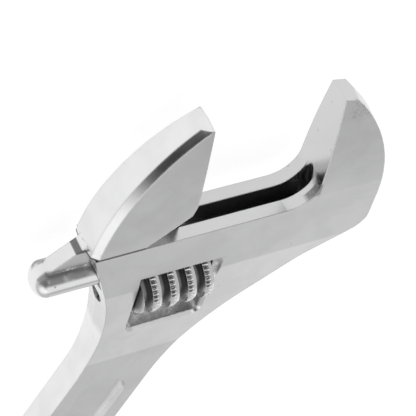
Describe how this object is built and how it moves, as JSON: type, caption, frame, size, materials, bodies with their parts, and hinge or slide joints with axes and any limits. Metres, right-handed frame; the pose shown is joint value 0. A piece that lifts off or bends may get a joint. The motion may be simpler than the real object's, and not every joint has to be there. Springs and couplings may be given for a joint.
{
  "type": "adjustable wrench",
  "caption": "Forged adjustable wrench: a fixed jaw and handle in one piece, a sliding jaw on a rack, and the thumb worm that moves it.",
  "frame": {"origin": "centre of the hanging hole, halfway through the thickness", "axes": "+X along the handle towards the jaws, +Z out of the broad face that the picture shows, +Y completes the set, towards the sliding jaw's side"},
  "size_m": [0.254, 0.0784, 0.0158],
  "materials": {
    "body": "polished nickel-chrome plate over a forged surface",
    "movable_jaw": "polished nickel-chrome plate over a forged surface",
    "worm": "plated, with a fine straight knurl on the thread",
    "worm_pin": "plain turned steel",
    "worm_spring": "spring wire"
  },
  "bodies": {
    "frame": {"body": "body", "worm_pin": "worm_pin", "worm_spring": "worm_spring"},
    "jaw": {"movable_jaw": "movable_jaw"},
    "worm": {"worm": "worm"}
  },
  "joints": [
    {"name": "jaw_slide", "type": "slide", "parent": "frame", "child": "jaw", "axis": [0.342, -0.9397, 0], "range_m": [-0.003, 0.0305]},
    {"name": "worm_turn", "type": "hinge", "parent": "frame", "child": "worm", "pos_m": [0.18168, 0.00337, 0], "axis": [0.342, -0.9397, 0], "range_deg": [-2554.49, 252.16]}
  ],
  "couplings": [
    {"joint": "worm_turn", "follows": "jaw_slide", "rad_per_m": -1461.2}
  ]
}
